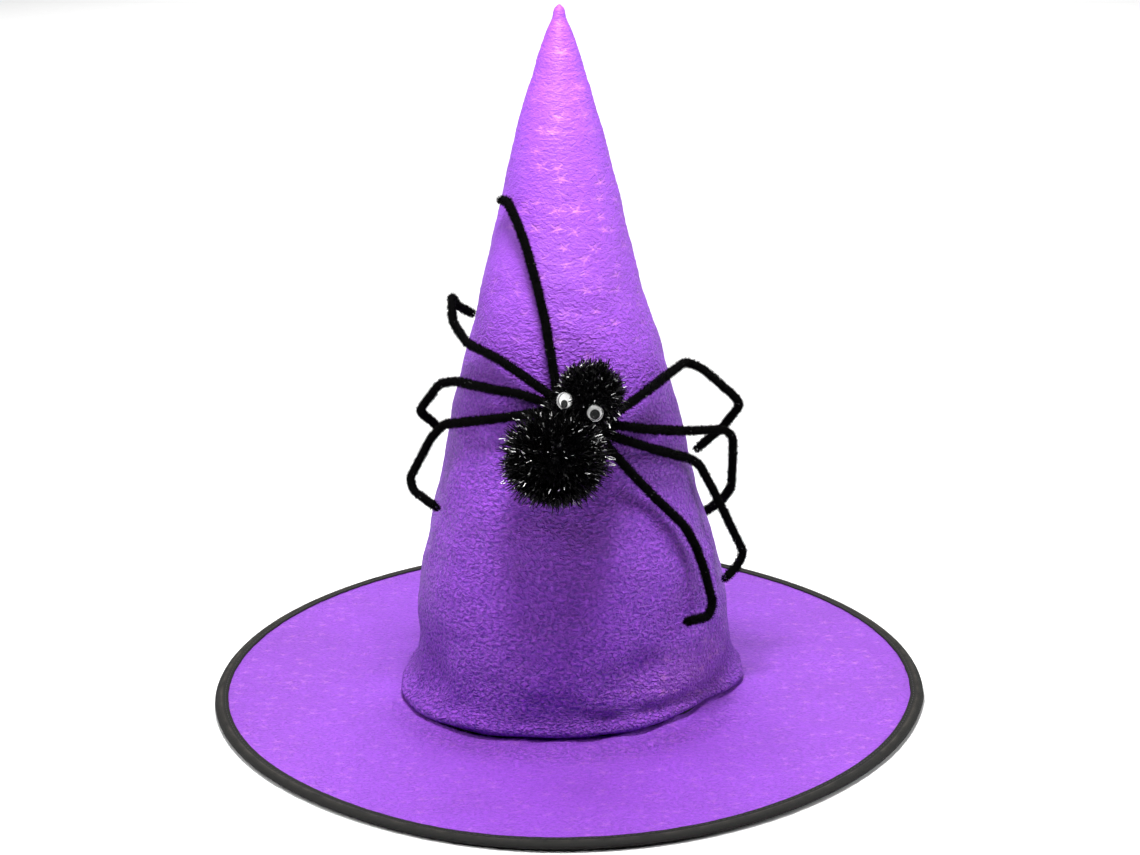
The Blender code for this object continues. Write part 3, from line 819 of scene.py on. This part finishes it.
def ringOfStitches(count, radiusOf, heightOf, outOf):
    # places, directions along and directions out for stitches evenly spaced round the hat
    turns = [2 * math.pi * i / count for i in range(count)]
    places = [(radiusOf(a) * math.sin(a), -radiusOf(a) * math.cos(a), heightOf(a)) for a in turns]
    return places, [(math.cos(a), math.sin(a), 0) for a in turns], [outOf(a) for a in turns]


def makeBindingStitches():
    look = bindingShape
    count = int(2 * math.pi * 184 * mm / look["stitch"])
    ring = ringOfStitches(count, lambda a: look["outer"] + float(rimShift(a)) - look["stitchLine"],
                          lambda a: look["stitchHeight"] + float(brimWave(a)), lambda a: (0, 0, 1))
    stitchRow("binding_stitches", *ring, 2.3 * mm, 0.2 * mm, darkThread, "black_thread", "binding_thread")


def makeHoop():
    # the spring wire in the binding, which holds the rim out to its shape
    low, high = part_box("brim_wire")
    thick = (high.z - low.z) / 2
    deselectAll()
    bpy.ops.mesh.primitive_torus_add(major_segments=240, minor_segments=8, minor_radius=thick,
                                     major_radius=(high.x - low.x) / 2 - thick,
                                     location=(0, 0, (low.z + high.z) / 2))
    hoop = bpy.context.object
    hoop.name = "brim_hoop_wire"
    bpy.ops.object.transform_apply(location=True, rotation=True, scale=True)
    for vertex in hoop.data.vertices:
        x, y, z = vertex.co
        a = math.atan2(x, -y)
        out = 1 + float(rimShift(a)) / math.hypot(x, y)
        vertex.co = (x * out, y * out, z + float(brimWave(a)))
    hoop.data.shade_smooth()
    hoop.data.materials.append(zinc)
    standsFor(hoop, "hat", "brim_wire")


makeBinding()
makeBindingStitches()
makeHoop()
print("binding made")


# ---- the seams and the tape inside the crown

def makeInnerSeams():
    # the back seam's allowance, pressed open, with its row of stitches down the middle
    rows = crownPoints.shape[0]
    chosen = range(20, rows - 30, 3)
    points, faces = [], []
    for i in chosen:
        back = crownPoints[i, 0]
        inward = Vector((0, -1, -0.25)).normalized()
        centre = Vector(back) + inward * (crownShape["thickness"] + 1.3 * mm)
        for sideways, gap in ((-7, 0.5), (-3.5, 0.1), (0, -0.5), (3.5, 0.1), (7, 0.5)):
            sway = 0.35 * math.sin(i * 0.31 + sideways)
            room = min(1.0, max(0.25, (np.linalg.norm(back[:2]) / mm - 4) / 12))
            points.append(centre + Vector((sideways * mm * room, 0, 0)) - inward * ((gap + sway) * 0.5 * mm))
    for i in range(len(chosen) - 1):
        for k in range(4):
            a = i * 5 + k
            faces.append((a, a + 1, a + 6, a + 5))
    uvs = [(0.5 + points[v][0] / clothUnit, points[v][2] / clothUnit) for face in faces for v in face]
    piece = meshPiece("crown_seam_allowance", points, faces, [felt], uvs)
    thick = piece.modifiers.new("cloth thickness", "SOLIDIFY")
    thick.thickness = 0.8 * mm
    thick.offset = 0
    deselectAll()
    bpy.context.view_layer.objects.active = piece
    bpy.ops.object.modifier_apply(modifier=thick.name)
    tidyShell(piece)
    markCloth(piece, "slack", np.full(len(piece.data.vertices), 0.8))
    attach(piece, "hat")
    places, alongs, outs = [], [], []
    heights, ys = crownPoints[:, 0, 2], crownPoints[:, 0, 1]
    order = np.argsort(heights[:rows - 24])
    for z in np.arange(16 * mm, 335 * mm, 3.2 * mm):
        y = np.interp(z, heights[:rows - 24][order], ys[:rows - 24][order])
        places.append((float(crownLean(z)), y - crownShape["thickness"] - 2.0 * mm, z))
        alongs.append((0, -0.24, 1))
        outs.append((0, -1, -0.24))
    stitchRow("back_seam_stitches", places, alongs, outs, 2.5 * mm, 0.25 * mm, violetThread, "violet_thread",
              "crown_back_thread")


tapeShape = {"low": 0.9 * mm, "high": 24 * mm, "lowRadius": 85.3 * mm, "highRadius": 83.0 * mm,
             "thickness": 0.6 * mm, "stitches": 150}


def crownInside(a, z):
    # the radius of the crown's inner side at these turns and heights, above the lip
    rows = slice(crownShape["rows"] - 60, crownShape["rows"] - 14)
    heights = crownPoints[rows, :-1, 2].mean(1)
    radii = np.linalg.norm(crownPoints[rows, :, :2], axis=2) - crownShape["thickness"]
    turn = turnsOf(radii.shape[1] - 1)
    found = np.empty(np.broadcast(a, z).shape)
    for i in range(found.shape[1]):
        column = [np.interp(a.ravel()[i], turn, row) for row in radii]
        found[:, i] = np.interp(-z[:, i], -heights, column)
    return found


def makeHeadTape():
    # a woven tape over the seam allowance, with a soft ripple where it was eased in
    look = tapeShape
    rows, columns = 14, 240
    a = turnsOf(columns)
    share = np.linspace(0, 1, rows)[:, None]
    radius = look["highRadius"] + (look["lowRadius"] - look["highRadius"]) * share
    radius = radius + 0.35 * mm * np.sin(a * 23) * (1 - share) + 0.15 * mm * np.sin(a * 61 + share * 2)
    z = look["high"] + (look["low"] - look["high"]) * share + 0.5 * mm * np.sin(a * 7) * (1 - share)
    radius = np.minimum(radius, crownInside(a, z) - 0.5 * mm)
    points = np.stack([radius * np.sin(a), -radius * np.cos(a), z + 0 * radius], -1)
    uv = np.stack([84 * mm * a + 0 * radius, z + 0 * radius], -1)
    everything, faces, uvs = clothShell(points, uv, gridNormals(points), look["thickness"])
    piece = meshPiece("head_opening_tape", everything, faces, [tape], np.concatenate(uvs))
    tidyShell(piece)
    standsFor(piece, "hat", "head_tape")
    ring = ringOfStitches(look["stitches"], lambda a: look["lowRadius"] - look["thickness"] - 0.15 * mm,
                          lambda a: 3.6 * mm, lambda a: (-math.sin(a), math.cos(a), 0))
    stitchRow("head_opening_stitches", *ring, 2.6 * mm, 0.24 * mm, violetThread, "violet_thread",
              "crown_brim_thread")


makeInnerSeams()
makeHeadTape()
print("inner seams made")


# ---- spider

spiderShape = {
    # the head, with the tuft that spreads from under it between the two pompons, and the wider abdomen
    "head": [{"reach": 18.6 * mm, "core": 11.0 * mm, "strands": 4200, "stray": 0.22, "stretch": (1.0, 1.0, 1.0),
              "turn": 0, "shift": (0, 0, 0)},
             {"reach": 11.5 * mm, "core": 3.0 * mm, "strands": 1500, "stray": 0.35,
              "stretch": (1.9, 0.95, 0.95), "turn": 29, "shift": (-6.5, 1.5, -14.5)}],
    "abdomen": [{"reach": 25.8 * mm, "core": 16.0 * mm, "strands": 9500, "stray": 0.22,
                 "stretch": (1.07, 0.95, 0.99), "turn": 0, "shift": (-0.5, 0, -0.5)}],
    "strandWidth": 0.5 * mm,
    "silverAndGlintShare": 0.04,
}


def pomponCentre(node):
    low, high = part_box(node)
    return np.array((low + high) / 2)


def eyeAxis(look):
    side, tilt = math.radians(look["side"]), math.radians(look["tilt"])
    return Vector((math.sin(side) * math.cos(tilt), -math.cos(side) * math.cos(tilt), math.sin(tilt)))


def clearOfNeighbours(points, rng):
    # strands lie flat along the crown and are pressed down behind the glued eyes
    inside = crownReach(points[:, 0], points[:, 1], points[:, 2])
    push = np.maximum(rng.uniform(0.4, 2.2, len(points)) * mm - inside, 0)
    points += unit(points * (1, 1, 0)) * push[:, None]
    for side in ("left", "right"):
        axis = np.array(eyeAxis(eyeShape[side]))
        away = points - np.array(eyeShape[side]["at"]) * mm
        ahead = away @ axis
        aside = np.linalg.norm(away - ahead[:, None] * axis, axis=1)
        behind = (aside < 4.5 * mm) & (ahead > -1.2 * mm)
        points -= axis * (np.where(behind, ahead + 1.2 * mm, 0))[:, None]


def tinselStrands(rng, centre, look):
    # slit film strands that fan out from a bound core
    count = look["strands"]
    away = unit(rng.normal(size=(count, 3)))
    stray = unit(away + rng.normal(scale=look["stray"], size=(count, 3)))
    spike = rng.random((count, 1))
    reach = look["reach"] * np.where(spike < 0.66, rng.uniform(0.76, 0.92, (count, 1)),
                                     np.where(spike < 0.95, rng.uniform(0.9, 1.0, (count, 1)), 1.08))
    turn = np.array(Matrix.Rotation(math.radians(look["turn"]), 3, "Y"))
    root = centre + (away * look["core"] * 0.55 * look["stretch"]) @ turn.T
    tip = centre + (stray * reach * look["stretch"]) @ turn.T
    middle = root * 0.12 + tip * 0.88 + rng.normal(scale=0.7 * mm, size=(count, 3))
    clearOfNeighbours(middle, rng)
    clearOfNeighbours(tip, rng)
    side = unit(np.cross(tip - root, rng.normal(size=(count, 3))))
    wide = spiderShape["strandWidth"] * rng.uniform(0.7, 1.25, (count, 1))
    half = side * wide / 2
    twist = unit(np.cross(tip - middle, side))
    curl = rng.uniform(-0.9, 0.9, (count, 1))
    tipHalf = (side * np.cos(curl) + twist * np.sin(curl)) * wide * 0.3
    points = np.stack([root - half, root + half, middle - half, middle + half, tip - tipHalf, tip + tipHalf], 1)
    rim = 0.3 + 1.5 * (1 - np.clip(-away[:, 1], 0, 1) ** 2)  # painted glints: more toward the rims, where the light catches the film, fewer facing the front
    silverAndGlint = rng.random(count) < spiderShape["silverAndGlintShare"] * rim * (0.3 + 1.1 * (spike[:, 0] > 0.6))
    return points.reshape(-1, 3), silverAndGlint


def makePompon(name, node, parts, seed):
    rng = np.random.default_rng(seed)
    centre = pomponCentre(node)
    made, silverAndGlint = zip(*[tinselStrands(rng, centre + np.array(look["shift"]) * mm, look) for look in parts])
    points = np.concatenate(made)
    base = np.arange(len(points) // 6)[:, None] * 6
    faces = np.concatenate([base + [0, 1, 3, 2], base + [2, 3, 5, 4]], 1).reshape(-1, 4)
    bright = np.stack([np.zeros(len(points) // 6), np.concatenate(silverAndGlint)], 1).astype(int).ravel()
    strands = meshPiece(name, points, faces, [blackFilm, brightFilm], faceMaterials=bright)
    core = pomponCore(name + "_core", centre, parts[0])
    deselectAll()
    core.select_set(True)
    strands.select_set(True)
    bpy.context.view_layer.objects.active = strands
    bpy.ops.object.join()
    standsFor(strands, "hat", node)


def pomponCore(name, centre, look):
    # the dense middle of the pompon, lumpy from its bound strands
    deselectAll()
    bpy.ops.mesh.primitive_ico_sphere_add(subdivisions=4, radius=look["core"], location=tuple(centre))
    core = bpy.context.object
    core.name = name
    bpy.ops.object.mode_set(mode="EDIT")
    bpy.ops.mesh.select_all(action="SELECT")
    bpy.ops.transform.vertex_random(offset=0.9 * mm, normal=1.0, seed=4)
    bpy.ops.object.mode_set(mode="OBJECT")
    bpy.ops.object.transform_apply(location=True, rotation=True, scale=True)
    core.data.materials.append(blackFilm)
    return core


eyeShape = {
    "left": {"at": (0.6, -76.4, 183.1), "side": -34, "tilt": 15, "pupil": 1.9, "drop": 1.5},
    "right": {"at": (14.7, -80.8, 178.2), "side": 8, "tilt": 10, "pupil": 2.5, "drop": 0.8},
    "radius": 4.15,
    "wall": 0.3,
    "skirt": 1.2,
    "rise": 1.9,
}
makePompon("tinsel_head", "spider_head", spiderShape["head"], 11)
makePompon("tinsel_abdomen", "spider_abdomen", spiderShape["abdomen"], 12)
print("pompons made")


# each leg's bends from its root to its tip, in millimetres
legShape = {
    "leg_left_1": [(-4, -59, 186), (-6, -54, 199), (-9, -48, 216.5), (-13, -42, 233.5), (-18, -35, 251),
                   (-22, -31, 261.5), (-27, -23, 271), (-30, -18, 270)],
    "leg_left_2": [(-8.5, -59, 182), (-20, -53, 189), (-31, -46, 195), (-49, -23, 198), (-56.5, -11, 206),
                   (-57, -2, 217), (-55.5, 8, 210), (-48, 17, 203)],
    "leg_left_3": [(-11.5, -59.5, 178), (-23.5, -54, 180.5), (-36, -47, 180.5), (-55, -20, 177),
                   (-64, -12, 173.5), (-75.5, -8, 157.5), (-67, 2, 146)],
    "leg_left_4": [(-12, -61, 172.5), (-20, -58.5, 170.5), (-40, -48.5, 165), (-62, -20, 154),
                   (-69, -15, 145.5), (-81, -16, 123.5), (-79, -20, 118), (-67, -31.5, 113)],
    "leg_right_1": [(26, -58, 171), (40.5, -44, 177), (56, -18, 180.5), (62.5, -9, 182.5), (71, -7, 178.5),
                    (88.5, -2, 161.5), (92, 0, 156), (83, 4, 142.5), (70, 7, 130)],
    "leg_right_2": [(27, -59, 164.5), (43.5, -47.5, 158.5), (62, -23, 149.5), (83, -10, 146), (87.5, -10, 141.5),
                    (87.5, -8, 127), (87, -6, 112), (83, 6, 101), (75.5, 24, 88)],
    "leg_right_3": [(25.5, -60.5, 159), (43.5, -51, 149.5), (64, -27, 136), (69.5, -20, 130), (78, -16, 112.5),
                    (93.5, -14, 78.5), (89.5, -16, 71.5), (83.5, -20.5, 67)],
    "leg_right_4": [(22, -63.5, 154), (33.5, -61, 139.5), (46, -56, 124), (60, -49, 107.5), (66, -46, 95.5),
                    (70.5, -46, 82), (75, -47.5, 64), (72.5, -51.5, 58.5), (61, -63.5, 61)],
}
chenilleShape = {"pile": 3.25 * mm, "core": 2.1 * mm, "twist": 3.6 * mm, "bead": 0.09, "strandsPerMm": 60,
                 "strandWidth": 0.28 * mm, "brightShare": 0.006}


def legPath(points, bend=2.2 * mm):
    # straight runs with short rounded bends between them
    line = np.array(points, float) * mm
    along = distances(line)
    path = sampled(np.linspace(0, along[-1], int(along[-1] / (0.25 * mm))), along, line)
    reach = int(bend / (0.25 * mm))
    for _ in range(2):
        padded = np.concatenate([np.repeat(path[:1], reach, 0), path, np.repeat(path[-1:], reach, 0)])
        total = np.cumsum(np.concatenate([np.zeros((1, 3)), padded]), 0)
        path = (total[2 * reach + 1:] - total[:-2 * reach - 1]) / (2 * reach + 1)
    path = np.concatenate([line[:1], path[reach // 2:-reach // 2], line[-1:]])
    along = distances(path)
    even = np.linspace(0, along[-1], max(12, int(along[-1] / (0.8 * mm))))
    return sampled(even, along, path), even


def framesAlong(path):
    step = unit(np.gradient(path, axis=0))
    side = np.cross(step[0], (0.3, 0.2, 0.9))
    sides = []
    for direction in step:
        side = side - direction * side.dot(direction)
        side = side / np.linalg.norm(side)
        sides.append(side)
    sides = np.array(sides)
    return step, sides, np.cross(step, sides)


def chenille(path, along, seed, tips=(False, True)):
    # points and faces of a stem: its woven middle, then short strands held between two twisted wires
    look = chenilleShape
    step, side, other = framesAlong(path)
    sides = 10
    turn = 2 * math.pi * np.arange(sides) / sides
    count = len(path)
    taper = np.ones(count)
    for closed, distance in zip(tips, (along, along[-1] - along)):
        if closed:
            taper *= np.sqrt(np.clip(1 - (1 - distance / (1.6 * mm)).clip(0) ** 2, 0.05, 1))
    ring = side[:, None] * np.cos(turn)[None, :, None] + other[:, None] * np.sin(turn)[None, :, None]
    tube = (path[:, None] + ring * look["core"] * taper[:, None, None]).reshape(-1, 3)
    faces = [tuple(q) for q in quadsOf(count, sides)[0]]
    faces += [tuple(range(sides)), tuple((count - 1) * sides + k for k in reversed(range(sides)))]
    rng = np.random.default_rng(seed)
    strands = int(along[-1] / mm * look["strandsPerMm"])
    s = rng.uniform(0, along[-1], strands)
    if tips[1]:
        s[:150] = along[-1] - rng.uniform(0, 0.8 * mm, 150)
    at, d, u = sampled(s, along, path), unit(sampled(s, along, step)), sampled(s, along, side)
    v = np.cross(d, u)
    angle = rng.uniform(0, 2 * math.pi, strands)
    lean = rng.normal(scale=0.28, size=strands)
    if tips[1]:
        lean += 2.2 * smoothStep(s, along[-1] - 1.8 * mm, along[-1]) * rng.random(strands)
    out = u * np.cos(angle)[:, None] + v * np.sin(angle)[:, None] + d * lean[:, None]
    out = unit(out)
    beads = np.cos(2 * (angle - 2 * math.pi * s / look["twist"]))
    reach = look["pile"] * ((1 + look["bead"] * beads) * rng.uniform(0.8, 1.0, strands))[:, None]
    root = at + out * look["core"] * 0.6
    tip = at + out * reach
    wide = np.cross(out, rng.normal(size=(strands, 3)))
    wide *= (look["strandWidth"] / 2) / np.linalg.norm(wide, axis=1)[:, None]
    pilePoints = np.stack([root - wide, root + wide, tip + wide * 0.4, tip - wide * 0.4], 1).reshape(-1, 3)
    faces += [tuple(q) for q in (np.arange(strands)[:, None] * 4 + [0, 1, 2, 3] + len(tube))]
    bright = np.zeros(len(faces), int)
    # painted glints: a few pile strands take the grey glint finish
    bright[-strands:] = rng.random(strands) < look["brightShare"]
    return np.concatenate([tube, pilePoints]), faces, bright


def makeLeg(name, points, seed):
    path, along = legPath(points)
    made, faces, bright = chenille(path, along, seed)
    leg = meshPiece(name + "_chenille", made, faces, [pile, pileGlint], faceMaterials=bright)
    standsFor(leg, name, name)


def makeLegRoots():
    # the stems run on from each leg's bend into the bound bundle, with the same pile
    bundle = Vector((6.5, -57.7, 167.2))
    run = Vector((0.87, 0, -0.49))
    made, faces, bright = [], [], []
    stems = [[tuple(bundle + run * k) for k in (-13, -5, 5, 13)]]
    for points in legShape.values():
        root, onward = Vector(points[0]), Vector(points[1])
        inward = (root - onward).normalized()
        foot = bundle + run * max(-12, min(12, (root - bundle).dot(run)))
        foot.y -= 3
        stems.append([tuple(root), tuple(root + inward * 2.5), tuple(foot)])
    for number, points in enumerate(stems):
        path, along = legPath(points, 1.2 * mm)
        partPoints, partFaces, partBright = chenille(path, along, 70 + number, (False, False))
        start = sum(len(part) for part in made)
        made.append(partPoints)
        faces += [tuple(v + start for v in face) for face in partFaces]
        bright.append(partBright)
    roots = meshPiece("leg_roots_chenille", np.concatenate(made), faces, [pile, pileGlint],
                      faceMaterials=np.concatenate(bright))
    standsFor(roots, "hat", "leg_bundle")


for number, (name, points) in enumerate(legShape.items()):
    makeLeg(name, points, 40 + number)
makeLegRoots()
print("legs made")


# ---- eyes

def placeEye(piece, look):
    # puts a piece that was made about Z on the eye's own axis, and leaves its object at the origin
    toward = eyeAxis(look)
    turn = toward.to_track_quat("Z", "Y").to_matrix().to_4x4()
    piece.data.transform(Matrix.Translation(Vector(look["at"]) * mm) @ turn)
    piece.data.update()
    return toward, turn


def selectWhere(piece, test):
    # selects the faces whose centre and normal pass the test, in edit mode
    bpy.ops.object.mode_set(mode="OBJECT")
    for face in piece.data.polygons:
        face.select = test(face.center, face.normal)
    bpy.ops.object.mode_set(mode="EDIT")


def closeUp(piece, material, angle=35):
    bpy.ops.mesh.select_all(action="SELECT")
    bpy.ops.mesh.remove_doubles(threshold=0.000005)
    bpy.ops.mesh.normals_make_consistent(inside=False)
    bpy.ops.object.mode_set(mode="OBJECT")
    bpy.ops.object.transform_apply(location=True, rotation=True, scale=True)
    piece.data.shade_smooth()
    bpy.ops.object.shade_smooth_by_angle(angle=math.radians(angle))
    piece.data.materials.append(material)


def applyModifier(piece, kind, **settings):
    modifier = piece.modifiers.new(kind.lower(), kind)
    for key, value in settings.items():
        setattr(modifier, key, value)
    bpy.ops.object.modifier_apply(modifier=modifier.name)


def punchedDisc(name, radius, low, high, crowned, rounding, material):
    # a punched plastic disc: rounded rims and a face that is inset and slightly raised or sunk
    deselectAll()
    bpy.ops.mesh.primitive_cylinder_add(vertices=48, radius=radius * mm, depth=(high - low) * mm,
                                        location=(0, 0, (low + high) / 2 * mm))
    piece = bpy.context.object
    piece.name = name
    bpy.ops.object.transform_apply(location=True, rotation=True, scale=True)
    applyModifier(piece, "BEVEL", width=rounding * mm, segments=3, limit_method="ANGLE")
    bpy.ops.object.mode_set(mode="EDIT")
    bpy.ops.mesh.select_all(action="DESELECT")
    selectWhere(piece, lambda centre, normal: normal.z > 0.99)
    bpy.ops.mesh.inset(thickness=radius * 0.12 * mm)
    bpy.ops.transform.translate(value=(0, 0, crowned * mm))
    bpy.ops.mesh.inset(thickness=radius * 0.35 * mm)
    closeUp(piece, material)
    return piece


def formedDome(name, material):
    # a vacuum-formed cover: a flattened half ball on a straight skirt
    radius, wall, skirt, rise = (eyeShape[k] for k in ("radius", "wall", "skirt", "rise"))
    deselectAll()
    bpy.ops.mesh.primitive_uv_sphere_add(segments=48, ring_count=28, radius=radius * mm)
    piece = bpy.context.object
    piece.name = name
    bpy.ops.object.mode_set(mode="EDIT")
    bpy.ops.mesh.select_all(action="SELECT")
    bpy.ops.mesh.bisect(plane_co=(0, 0, 0), plane_no=(0, 0, 1), clear_inner=True)
    bpy.ops.mesh.select_all(action="SELECT")
    bpy.ops.transform.resize(value=(1, 1, rise / radius), center_override=(0, 0, 0))
    bpy.ops.transform.translate(value=(0, 0, skirt * mm))
    bpy.ops.mesh.select_all(action="DESELECT")
    bpy.ops.mesh.select_non_manifold()
    bpy.ops.mesh.extrude_region_move(TRANSFORM_OT_translate={"value": (0, 0, -(skirt + 0.4) * mm)})
    closeUp(piece, material, 50)
    applyModifier(piece, "SOLIDIFY", thickness=wall * mm, offset=-1.0)
    return piece


def makeEye(name, look):
    back = punchedDisc(f"eye_{name}_disc", 3.55, -0.6, 0.0, 0.06, 0.12, whitePlastic)
    toward, turn = placeEye(back, look)
    standsFor(back, "hat", f"eye_{name}_back")
    dome = formedDome(f"eye_{name}_cover", clearPlastic)
    placeEye(dome, look)
    standsFor(dome, "hat", f"eye_{name}_dome")
    pupil = punchedDisc(f"eye_{name}_bead", look["pupil"], 0.35, 0.82, 0.05, 0.12, blackPlastic)
    up = Vector((0, 0, 1))
    low = (toward * up.dot(toward) - up).normalized() * look["drop"] * mm
    pupil.data.transform(Matrix.Translation(turn.to_3x3().inverted() @ low))
    placeEye(pupil, look)
    standsFor(pupil, f"eye_{name}_pupil", f"eye_{name}_pupil")


for side in ("left", "right"):
    makeEye(side, eyeShape[side])
print("eyes made")


# ---- hidden pieces keep their solids and get their own finish

hiddenFinish = {"wire_ferrule": zinc, "body_wire": zinc, "head_glue": glue, "abdomen_glue": glue,
                "eye_left_glue": glue, "eye_right_glue": glue}
for node, finish in hiddenFinish.items():
    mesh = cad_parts[node].data
    mesh.materials.clear()
    mesh.materials.append(finish)
